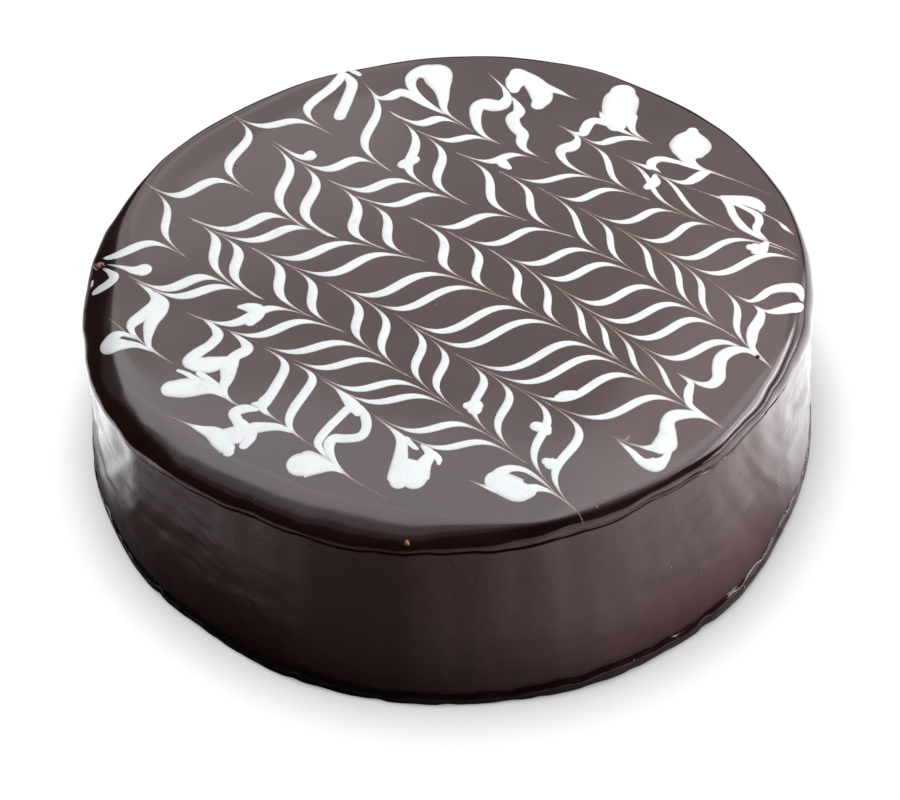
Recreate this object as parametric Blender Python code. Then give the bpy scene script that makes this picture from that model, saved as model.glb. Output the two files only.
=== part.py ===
"""A round sachertorte: a glazed cake with a rolled lip, and feathered icing piped across its flat top."""

import math

import bmesh
import bpy

# Cake, in metres: radii at the lip and at the foot, and the height of the glazed top.
# Unevenness round the cake is a sum of waves, each a count, a size and a phase.
LIP_RADIUS = 0.1095
FOOT_RADIUS = 0.1180
HEIGHT = 0.0610

# The lip is a little oval, and sits a little towards the back left of the cake
LIP_OVAL = 0.0014
LIP_SHIFT = (-0.0004, 0.0018)
LIP_WAVES = ((5, 0.00030, 0.4), (8, 0.00018, 2.1), (13, 0.00012, 5.0))

# The foot has three broad lobes, and sits a little towards the left
FOOT_LOBE = 0.0013
FOOT_LOBE_AT = math.radians(-62)
FOOT_SHIFT = -0.0006
FOOT_WAVES = ((7, 0.00028, 1.0), (11, 0.00021, 2.6), (15, 0.00021, 0.3))

# Rolled edge of the top: how far in it starts, from its tight side to its wide side, and its drop to the lip
ROLL_WIDTH = 0.0046
ROLL_WIDENING = 0.0064
WIDEST_ROLL_AT = math.radians(-145)
WIDE_ROLL_REACH = (math.radians(35), math.radians(72))
ROLL_DROP = 0.0048
ROLL_DROP_WAVES = ((6, 0.00032, 0.9), (11, 0.00028, 2.2), (19, 0.00020, 4.0))
ROLL_ANGLES = (0, 25, 48, 70, 90)

# Crease under the lip, where the poured top meets the coated side
CREASE_DEPTH = 0.0009
CREASE_DROP = 0.0013

# Side, with flow ripples that are strongest at the left and the right
WALL_STEPS = (0.15, 0.32, 0.50, 0.68, 0.85)
WALL_FLARE = 1.15
RIPPLE_WAVES = ((9, 0.00028, 1.3), (14, 0.00025, 0.2), (21, 0.00018, 3.9))
RIPPLE_SLANT = 4.0
RIPPLE_IN_FRONT = 0.25

# Ragged hem of the coat over a foot of glaze that ran down and set
HEM_HEIGHT = 0.0046
HEM_WAVES = ((10, 0.00056, 0.5), (17, 0.00049, 2.9), (23, 0.00035, 1.7))
HEM_INSET = 0.0006
HEM_TUCK = 0.0012
HEM_LIP = 0.0009
FOOT_BULGE_HEIGHT = 0.0016
FOOT_INSET = 0.0010

SEGMENTS = 96

# Icing: piped lines and rows of alternate pulls, in a plan frame turned to the piping.
# Its unit is PIPING_UNIT, lines run along v, and the pull rows cross them along u.
PIPING_UNIT = 0.1092
PIPING_ANGLE = math.radians(-40)
PIPING_CENTRE_Y = -0.0022
LINE_PLACES = (-0.77, -0.58, -0.48, -0.335, -0.215, -0.05, 0.08, 0.21, 0.32, 0.455, 0.565, 0.66, 0.76, 0.82)
LINE_BOW = 0.20
LINE_BOW_SHIFT = 0.62
ROW_PLACES = (0.80, 0.68, 0.54, 0.413, 0.27, 0.115, -0.025, -0.236, -0.372, -0.524, -0.70)
ROW_SLOPE = -0.05
ROW_WAVE = 0.022
ROW_WAVE_LENGTH = 1.10
ROW_WAVE_START = -0.10
PULL = 0.085
PULL_FADE = 0.17
STROKE_WIDTH = 0.036
STROKE_THINNING = 0.45
STROKE_SECTIONS = (0.05, 0.13, 0.26, 0.42, 0.58, 0.74, 0.87, 0.95)
PIPED_RADIUS = 0.965
TURN_SECTIONS = 7
TURN_GAP = 0.016
TURN_REACH = 0.08
TURN_WIDTH = 0.055
TURN_FILL = 0.42
ICING_RELIEF = 0.0005
ICING_ROOT = 0.0012


def remove_scene_objects():
    for old in list(bpy.data.objects):
        bpy.data.objects.remove(old)


def material(name, colour, roughness):
    """A Principled material with one colour and roughness."""
    made = bpy.data.materials.new(name)
    made.use_nodes = True
    shader = made.node_tree.nodes["Principled BSDF"]
    shader.inputs["Base Color"].default_value = (*colour, 1)
    shader.inputs["Roughness"].default_value = roughness
    shader.inputs["Metallic"].default_value = 0
    return made


def sum_of(waves, angle):
    """Unevenness at one angle round the cake."""
    return sum(size * math.cos(count * angle + phase) for count, size, phase in waves)


def lip_radius(angle):
    shift = LIP_SHIFT[0] * math.cos(angle) + LIP_SHIFT[1] * math.sin(angle)
    return LIP_RADIUS + LIP_OVAL * math.cos(2 * angle) + shift + sum_of(LIP_WAVES, angle)


def foot_radius(angle):
    lobes = FOOT_LOBE * math.cos(3 * (angle - FOOT_LOBE_AT)) + FOOT_SHIFT * math.cos(angle)
    return FOOT_RADIUS + lobes + sum_of(FOOT_WAVES, angle)


def roll_width(angle):
    wide, tight = WIDE_ROLL_REACH
    apart = abs((angle - WIDEST_ROLL_AT + math.pi) % (2 * math.pi) - math.pi)
    share = min(max((tight - apart) / (tight - wide), 0), 1)
    return ROLL_WIDTH + ROLL_WIDENING * share * share * (3 - 2 * share)


def roll_drop(angle):
    return ROLL_DROP + sum_of(ROLL_DROP_WAVES, angle)


def top_height(x, y):
    """Height of the glazed top at a point, flat in the middle and rolled down towards the lip."""
    angle = math.atan2(y, x)
    into_roll = 1 - (lip_radius(angle) - math.hypot(x, y)) / roll_width(angle)
    into_roll = min(max(into_roll, 0), 1)
    return HEIGHT - roll_drop(angle) * (1 - math.sqrt(1 - into_roll ** 2))


def ripple(angle, height):
    """Glaze flow on the side, in slanting waves."""
    strength = RIPPLE_IN_FRONT + (1 - RIPPLE_IN_FRONT) * math.cos(angle) ** 2
    return strength * sum_of(RIPPLE_WAVES, angle + height * RIPPLE_SLANT)


def profile(angle):
    """Radius and height of each ring of the cake at one angle, from the top's flat down to the underside."""
    lip, foot, drop = lip_radius(angle), foot_radius(angle), roll_drop(angle)
    rings = []
    for degrees in ROLL_ANGLES:
        turn = math.radians(degrees)
        inset = roll_width(angle) * (1 - math.sin(turn))
        rings.append((lip - inset, HEIGHT - drop * (1 - math.cos(turn))))
    crease = (lip - CREASE_DEPTH, HEIGHT - drop - CREASE_DROP)
    hem = (foot - HEM_INSET, HEM_HEIGHT + sum_of(HEM_WAVES, angle))
    rings.append(crease)
    for step in WALL_STEPS:
        height = crease[1] + (hem[1] - crease[1]) * step
        radius = crease[0] + (hem[0] - crease[0]) * step ** WALL_FLARE
        rings.append((radius + ripple(angle, height) * math.sin(math.pi * step), height))
    rings.append(hem)
    rings.append((foot - HEM_TUCK, hem[1] - HEM_LIP))
    rings.append((foot, FOOT_BULGE_HEIGHT))
    rings.append((foot - FOOT_INSET, 0))
    return rings


def cake_mesh():
    """One closed skin: rings bridged from the top to the underside, with a flat face at each end."""
    mesh = bmesh.new()
    columns = []
    for index in range(SEGMENTS):
        angle = 2 * math.pi * index / SEGMENTS
        across, along = math.cos(angle), math.sin(angle)
        columns.append([mesh.verts.new((r * across, r * along, z)) for r, z in profile(angle)])
    for index, column in enumerate(columns):
        following = columns[(index + 1) % SEGMENTS]
        for ring in range(len(column) - 1):
            mesh.faces.new((column[ring], column[ring + 1], following[ring + 1], following[ring]))
    mesh.faces.new([column[0] for column in columns])
    mesh.faces.new([column[-1] for column in reversed(columns)])
    return mesh


def object_from(mesh, name, *materials):
    """Turns a bmesh into a named object with its materials, faces outward."""
    bmesh.ops.recalc_face_normals(mesh, faces=mesh.faces)
    data = bpy.data.meshes.new(name)
    mesh.to_mesh(data)
    mesh.free()
    for one in materials:
        data.materials.append(one)
    return bpy.data.objects.new(name, data)


def on_cake(u, v):
    """A point of the piping's plan frame, in metres on the cake."""
    across, along = math.cos(PIPING_ANGLE), math.sin(PIPING_ANGLE)
    return (u * across - v * along) * PIPING_UNIT, (u * along + v * across) * PIPING_UNIT + PIPING_CENTRE_Y


def line_place(line, v):
    """Where a piped line crosses v before it is pulled. Its bow lies further up to the right."""
    place = LINE_PLACES[line]
    return place - LINE_BOW * (v - LINE_BOW_SHIFT * place) ** 2


def row_place(row, u):
    """Where a pull row crosses u."""
    swing = math.sin(2 * math.pi * (u - ROW_WAVE_START) / ROW_WAVE_LENGTH)
    return ROW_PLACES[row] + ROW_SLOPE * u + ROW_WAVE * swing


def pulled(row):
    """Rows are pulled to the right and to the left by turns."""
    return PULL if row % 2 == 0 else -PULL


def stroke(line, row):
    """Left and right edge points of a line between a pull row and the next: an S that thins at both pulls."""
    sections = []
    for share in STROKE_SECTIONS:
        rough_v = ROW_PLACES[row] + (ROW_PLACES[row + 1] - ROW_PLACES[row]) * share
        u = line_place(line, rough_v)
        u += pulled(row) * math.exp(-share / PULL_FADE)
        u += pulled(row + 1) * math.exp(-(1 - share) / PULL_FADE)
        v = row_place(row, u) + (row_place(row + 1, u) - row_place(row, u)) * share
        half = STROKE_WIDTH / 2 * (1 - STROKE_THINNING * (1 - math.sin(math.pi * share)))
        sections.append(((u - half, v), (u + half, v)))
    return sections


def fits(sections):
    """Whether a stroke leaves room for a turn inside the lip."""
    return max(math.hypot(u, abs(v) + TURN_REACH) for pair in sections for u, v in pair) < PIPED_RADIUS


def row_ranges():
    """First and last row of strokes of each line. Lines that a turn joins end at the same row there."""
    ranges = []
    for line in range(len(LINE_PLACES)):
        rows = [row for row in range(len(ROW_PLACES) - 1) if fits(stroke(line, row))]
        ranges.append([rows[0], rows[-1]])
    for line in range(len(ranges) - 1):
        pair = ranges[line:line + 2]
        if line % 2 == 0:
            pair[0][0] = pair[1][0] = max(pair[0][0], pair[1][0])
        else:
            pair[0][1] = pair[1][1] = min(pair[0][1], pair[1][1])
    return ranges


def middle(section):
    (left_u, left_v), (right_u, right_v) = section
    return (left_u + right_u) / 2, (left_v + right_v) / 2


def turn(first, second, outward):
    """The thick arch where piping turns from one line's end to the next, outward being 1 up and -1 down."""
    span = second[0] - first[0]
    thickness = min(span * TURN_FILL, TURN_WIDTH)
    spring = outward * (max(outward * first[1], outward * second[1]) + TURN_GAP)
    room = math.sqrt(PIPED_RADIUS ** 2 - ((first[0] + second[0]) / 2) ** 2) - abs(spring) - thickness / 2
    reach = min(TURN_REACH, room)
    sections = []
    for index in range(TURN_SECTIONS):
        swing = math.pi * index / (TURN_SECTIONS - 1)
        half = thickness / 2 * (0.5 + 0.5 * math.sin(swing))
        u = first[0] + span * (1 - math.cos(swing)) / 2
        v = spring + outward * reach * math.sin(swing)
        lean = (half * math.cos(swing), half * math.sin(swing) * outward)
        sections.append(((u - lean[0], v + lean[1]), (u + lean[0], v - lean[1])))
    return sections


def ribbon(mesh, sections):
    """A closed strip through the sections, from under the glaze to a little above it."""
    rungs = []
    for pair in sections:
        rung = []
        for point in pair:
            x, y = on_cake(*point)
            surface = top_height(x, y)
            rung.append(mesh.verts.new((x, y, surface + ICING_RELIEF)))
            rung.append(mesh.verts.new((x, y, surface - ICING_ROOT)))
        rungs.append(rung)
    for (a, b, c, d), (e, f, g, h) in zip(rungs, rungs[1:]):
        for face in ((a, e, g, c), (d, h, f, b), (b, f, e, a), (c, g, h, d)):
            mesh.faces.new(face)
    for a, b, c, d in (rungs[0], rungs[-1]):
        mesh.faces.new((a, b, d, c))


def icing_collection(icing):
    """Each line's strokes as an object, and each turn as another, in a collection of their own."""
    helpers = bpy.data.collections.new("piping")
    bpy.context.scene.collection.children.link(helpers)
    lines = []
    for line, (first, last) in enumerate(row_ranges()):
        lines.append([stroke(line, row) for row in range(first, last + 1)])
    for line, strokes in enumerate(lines):
        mesh = bmesh.new()
        for sections in strokes:
            ribbon(mesh, sections)
        helpers.objects.link(object_from(mesh, f"line_{line}", icing))
    for line in range(len(lines) - 1):
        upward = line % 2 == 0
        ends = [middle(strokes[0][0] if upward else strokes[-1][-1]) for strokes in lines[line:line + 2]]
        mesh = bmesh.new()
        ribbon(mesh, turn(ends[0], ends[1], 1 if upward else -1))
        helpers.objects.link(object_from(mesh, f"turn_{line}", icing))
    return helpers


def fuse(body, helpers):
    """Joins the helpers to the body by one Boolean union, applies it and removes the helpers."""
    union = body.modifiers.new("piping", "BOOLEAN")
    union.operation = "UNION"
    union.operand_type = "COLLECTION"
    union.collection = helpers
    union.solver = "EXACT"
    union.material_mode = "TRANSFER"
    evaluated = body.evaluated_get(bpy.context.evaluated_depsgraph_get())
    fused = bpy.data.meshes.new_from_object(evaluated)
    body.modifiers.clear()
    body.data = fused
    for helper in list(helpers.objects):
        bpy.data.objects.remove(helper)
    bpy.data.collections.remove(helpers)


def build_cake():
    glaze = material("dark_glaze", (0.020, 0.008, 0.005), 0.18)
    icing = material("white_icing", (0.82, 0.83, 0.80), 0.30)
    cake = object_from(cake_mesh(), "sachertorte", glaze)
    bpy.context.scene.collection.objects.link(cake)
    fuse(cake, icing_collection(icing))
    cake.data.shade_smooth()
    cake.data.set_sharp_from_angle(angle=math.radians(35))


remove_scene_objects()
build_cake()
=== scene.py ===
"""A glazed sachertorte cake: poured dark glaze, feathered icing, a few crumbs, and a plain white studio."""

import math

import bmesh
import bpy
import numpy as np
from mathutils import Matrix, Quaternion, Vector


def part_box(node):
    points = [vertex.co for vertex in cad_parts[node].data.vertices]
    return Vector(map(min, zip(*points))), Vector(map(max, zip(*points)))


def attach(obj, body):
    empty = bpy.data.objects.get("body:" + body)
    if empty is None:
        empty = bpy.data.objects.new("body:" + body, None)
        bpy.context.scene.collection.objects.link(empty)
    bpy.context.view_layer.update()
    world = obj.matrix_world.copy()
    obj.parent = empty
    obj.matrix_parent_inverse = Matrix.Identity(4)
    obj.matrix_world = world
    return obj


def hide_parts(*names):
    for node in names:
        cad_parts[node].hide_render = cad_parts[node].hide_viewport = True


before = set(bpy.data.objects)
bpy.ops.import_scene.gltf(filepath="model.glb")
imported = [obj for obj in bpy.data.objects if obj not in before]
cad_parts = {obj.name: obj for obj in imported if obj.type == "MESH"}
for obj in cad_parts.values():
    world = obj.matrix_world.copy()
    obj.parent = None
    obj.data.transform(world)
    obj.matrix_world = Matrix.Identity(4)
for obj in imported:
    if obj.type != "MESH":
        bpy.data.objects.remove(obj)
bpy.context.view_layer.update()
CAKE_LOW, CAKE_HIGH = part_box("sachertorte")

bl_info = {
    "name": "Glazed torte",
    "version": (1, 0, 0),
    "blender": (4, 5, 0),
    "location": "3D view, sidebar, Torte tab",
    "description": "Makes a glazed torte with feathered icing, and a white studio round it",
    "category": "Add Mesh",
}

# Sizes are in metres. Unevenness round the cake is a sum of waves, each a count, a size and a phase.
ICING_RELIEF = 0.0005
TOP_HEIGHT = CAKE_HIGH.z - ICING_RELIEF

# Lip: the outer edge of the poured top, drawn in a little at the left front
LIP_RADIUS = 0.1095
LIP_OVAL = 0.0014
LIP_SHIFT = (-0.0004, 0.0018)
LIP_WAVES = ((5, 0.00030, 0.4), (8, 0.00018, 2.1), (13, 0.00012, 5.0))
LIP_DENT = 0.0022
LIP_DENT_AT = math.radians(-127)
LIP_DENT_REACH = math.radians(32)

# Foot: where the coated side meets the floor
FOOT_RADIUS = 0.1180
FOOT_LOBE = 0.0013
FOOT_LOBE_AT = math.radians(-62)
FOOT_SHIFT = -0.0006
FOOT_WAVES = ((7, 0.00028, 1.0), (11, 0.00021, 2.6), (15, 0.00021, 0.3))

# Roll from the flat top down to the lip: a tight bead, with a wide roll at the left front, which slopes
# sooner, and a wider stretch at the right. The lip hangs lower at two places and higher at one.
ROLL_WIDTH = 0.0040
ROLL_WIDENING = 0.0100
WIDEST_ROLL_AT = math.radians(-145)
WIDE_ROLL_REACH = (math.radians(35), math.radians(72))
WIDE_ROLL_FULLNESS = 0.35
SECOND_WIDENING = 0.0030
SECOND_WIDEST_AT = math.radians(-31)
SECOND_REACH = math.radians(25)
SECOND_FULLNESS = 1.2
ROLL_DROP = 0.0048
ROLL_DROP_WAVES = ((6, 0.00032, 0.9), (11, 0.00028, 2.2), (19, 0.00020, 4.0))
LIP_SAG = 0.0034
LIP_SAG_AT = math.radians(-12)
LIP_SAG_REACH = math.radians(30)
LEFT_SAG = 0.0018
LEFT_SAG_AT = math.radians(-165)
LEFT_SAG_REACH = math.radians(30)
LEFT_SAG_FULLNESS = 1.4
LIP_RISE = 0.0017
LIP_RISE_AT = math.radians(-63)
LIP_RISE_REACH = math.radians(28)
BULGE_PER_SAG = 0.25
LIP_EDGE_WAVES = ((29, 0.00016, 0.8), (43, 0.00015, 3.4), (61, 0.00011, 1.6), (97, 0.00006, 5.0))
LIP_BULGE_WAVES = ((23, 0.00016, 2.0), (37, 0.00012, 0.5), (53, 0.00007, 4.1))
ROLL_WIDTH_WAVES = ((8, 0.00050, 1.1), (13, 0.00035, 3.0), (21, 0.00022, 0.2))

# Crease under the lip, and the small shelf where the coat of the side begins, widest at the front right
CREASE_DEPTH = 0.0009
CREASE_DROP = 0.0013
SHELF_DEPTH = 0.0009
SHELF_AT = math.radians(-52)
SHELF_REACH = math.radians(44)
# Rings of the shelf, each a share of its depth outward and downward, and how fast it fades into the wall
SHELF_RINGS = ((0.20, 0.03), (0.55, 0.36), (0.93, 0.72), (1.00, 0.88))
SHELF_FADE = 0.12

# Side, with flow ripples that are strongest at the left and the right
WALL_FLARE = 1.15
WALL_RING_SPACING = 1.2
RIPPLE_WAVES = ((9, 0.00030, 1.3), (14, 0.00028, 0.2), (21, 0.00022, 3.9))
FINE_RIPPLE_WAVES = ((34, 0.00017, 0.7), (47, 0.00015, 2.4), (71, 0.00009, 5.2), (103, 0.00005, 1.0))
RIPPLE_SLANT = 4.0
FINE_RIPPLE_SLANT = 12.0
RIPPLE_IN_FRONT = 0.12
# Level bands of the flow, where it slowed down: each a length, a size and a phase over the height.
# They wander up and down round the cake, by a count, a size in radians and turns of the phase.
FLOW_BANDS = ((0.019, 0.00022, 0.6), (0.0083, 0.00010, 2.9), (0.0047, 0.00004, 4.4))
BAND_WANDER = ((5, 2.2, 1), (12, 1.1, 2))

# How thin, and so how red, the glaze is: 0 on the top and at the edge of the shelf, 1 in the crease, and
# these elsewhere. Below the crease it comes down to that of the wall over a share of the wall.
LIP_THINNESS = 0.5
WALL_THINNESS = 0.50
CREASE_THIN_SHARE = 0.03
HEM_THINNESS = 0.3
TUCK_THINNESS = 0.6
FOOT_THINNESS = 0.15

# Ragged hem of the coat, over a foot of glaze that ran down and set
HEM_HEIGHT = 0.0052
HEM_WAVES = ((10, 0.00056, 0.5), (17, 0.00049, 2.9), (23, 0.00035, 1.7))
FINE_HEM_WAVES = ((41, 0.00032, 0.9), (67, 0.00026, 3.3), (91, 0.00014, 5.1))
HIGH_HEM = 0.0022
HIGH_HEM_AT = math.radians(-48)
HIGH_HEM_REACH = math.radians(50)
HEM_INSET = 0.0006
HEM_TUCK = 0.0026
HEM_LIP = 0.0010
HEM_ROUNDING = 0.0001
HEM_ROUND_DROP = 0.65
FOOT_INSET = 0.0010
FOOT_FULLNESS = 0.7
MOST_PAST_FOOT = 0.0002
FOOT_BUMP_WAVES = ((37, 0.00040, 1.1), (59, 0.00034, 4.2), (83, 0.00026, 2.0), (113, 0.00016, 0.4))

# Long, very low swells of the poured top: direction, wavelength, height, phase
TOP_SWELLS = (
    (math.radians(20), 0.062, 0.000050, 0.3),
    (math.radians(-35), 0.041, 0.000032, 1.9),
    (math.radians(75), 0.050, 0.000040, 4.0),
    (math.radians(130), 0.033, 0.000022, 2.7),
)

# Shoulder at the back left, where the top falls a little before the roll
SHOULDER_START = 0.090
SHOULDER_FALL = 0.0013
SHOULDER_AT = math.radians(132)
SHOULDER_REACH = math.radians(62)
SHOULDER_WAVES = ((7, 0.35, 0.4), (13, 0.22, 2.0))

# Mesh density of the glaze coat
COAT_COLUMNS = 640
TOP_RINGS = 34
ROLL_RINGS = 26
CREASE_RINGS = 6
WALL_RINGS = 36
FOOT_RINGS = 8
BASE_RINGS = 5

# Plan frame of the piping: unit, turn and centre. Lines run along v, and the pull rows cross them along u.
PIPING_UNIT = 0.1092
PIPING_ANGLE = math.radians(-40)
PIPING_CENTRE_Y = -0.0022

# Pull rows from the top down: the pull's direction along u, then points of the row
PULL_ROWS = (
    (1, ((-0.30, 0.87), (-0.15, 0.84), (0.17, 0.775), (0.41, 0.755), (0.55, 0.76))),
    (-1, ((-0.45, 0.80), (-0.27, 0.74), (-0.07, 0.692), (0.20, 0.670), (0.47, 0.662), (0.65, 0.66))),
    (1, ((-0.75, 0.635), (-0.50, 0.570), (-0.20, 0.530), (0.10, 0.545),
         (0.42, 0.548), (0.60, 0.560), (0.82, 0.555))),
    (-1, ((-0.72, 0.540), (-0.45, 0.450), (-0.20, 0.420), (0.10, 0.412),
          (0.38, 0.386), (0.60, 0.357), (0.81, 0.320))),
    (1, ((-0.82, 0.310), (-0.47, 0.255), (-0.20, 0.245), (0.16, 0.283),
         (0.43, 0.267), (0.63, 0.235), (0.93, 0.155))),
    (-1, ((-0.95, 0.190), (-0.65, 0.130), (-0.30, 0.100), (0.00, 0.115),
          (0.25, 0.105), (0.55, 0.045), (0.77, 0.003))),
    (1, ((-0.80, -0.050), (-0.50, -0.083), (-0.13, -0.033), (0.16, -0.018),
         (0.42, -0.025), (0.65, -0.055), (0.95, -0.095))),
    (-1, ((-0.93, -0.205), (-0.70, -0.243), (-0.30, -0.240), (0.07, -0.237),
          (0.29, -0.258), (0.72, -0.270))),
    (1, ((-0.93, -0.340), (-0.50, -0.385), (-0.12, -0.365), (0.24, -0.400),
         (0.52, -0.445), (0.80, -0.520))),
    (-1, ((-0.82, -0.520), (-0.40, -0.535), (-0.07, -0.520), (0.27, -0.553), (0.52, -0.577))),
    (1, ((-0.65, -0.672), (-0.43, -0.700), (-0.03, -0.690), (0.25, -0.735), (0.42, -0.735))),
)

# Piped lines from the left: the strip between rows where each begins, its width, its place in each strip
PIPED_LINES = (
    (4, 0.040, (-0.820, -0.835, -0.820, -0.795, -0.790)),
    (5, 0.043, (-0.615, -0.577, -0.580, -0.560)),
    (3, 0.041, (-0.570, -0.525, -0.505, -0.487, -0.495, -0.500)),
    (2, 0.040, (-0.430, -0.378, -0.368, -0.335, -0.335, -0.340, -0.315)),
    (2, 0.036, (-0.300, -0.270, -0.250, -0.225, -0.215, -0.225, -0.220)),
    (2, 0.035, (-0.140, -0.085, -0.050, -0.035, -0.055, -0.065, -0.090)),
    (2, 0.031, (0.045, 0.050, 0.090, 0.080, 0.045, 0.030, 0.010)),
    (1, 0.030, (0.150, 0.175, 0.215, 0.235, 0.215, 0.190, 0.155, 0.130)),
    (1, 0.029, (0.295, 0.345, 0.330, 0.330, 0.320, 0.275, 0.235, 0.200)),
    (1, 0.028, (0.400, 0.465, 0.465, 0.465, 0.440, 0.415, 0.365, 0.345)),
    (2, 0.027, (0.580, 0.570, 0.560, 0.525, 0.490, 0.450, 0.430)),
    (2, 0.027, (0.680, 0.648, 0.645, 0.615, 0.585, 0.575)),
    (3, 0.027, (0.770, 0.745, 0.725, 0.700, 0.660)),
)

# A pull drags a line this far, and its effect fades over these distances along v. A row's slope is taken
# over a short step to both sides.
PULL_REACH = 0.085
PULL_FADE = 0.030
TAIL_REACH = 0.075
TAIL_FADE = 0.0055
SLOPE_STEP = 0.01

# Sections of a line between a row and the next, as shares: close together at both rows
STRIP_SHARES = (0, 0.003, 0.008, 0.016, 0.028, 0.045, 0.07, 0.10, 0.14, 0.19, 0.25, 0.32, 0.40, 0.50)

# Icing stroke: places across it from edge to edge, how deep its edges lie, and its crown.
# The rim margin keeps strokes on the roll, as a share of its width.
ACROSS = (-1.0, -0.86, -0.62, -0.30, 0.0, 0.30, 0.62, 0.86, 1.0)
EDGE_DEPTH = 0.00004
CROWN_PER_WIDTH = 0.035
MOST_CROWN = 0.00013
RIM_MARGIN = 0.12
# A stroke of the bare width lets the glaze show through, and it covers it past the added width,
# apart from a share at its edges.
BARE_WIDTH = 0.0003
ADDED_WIDTH = 0.0012
EDGE_SHARE = 0.2

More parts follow.
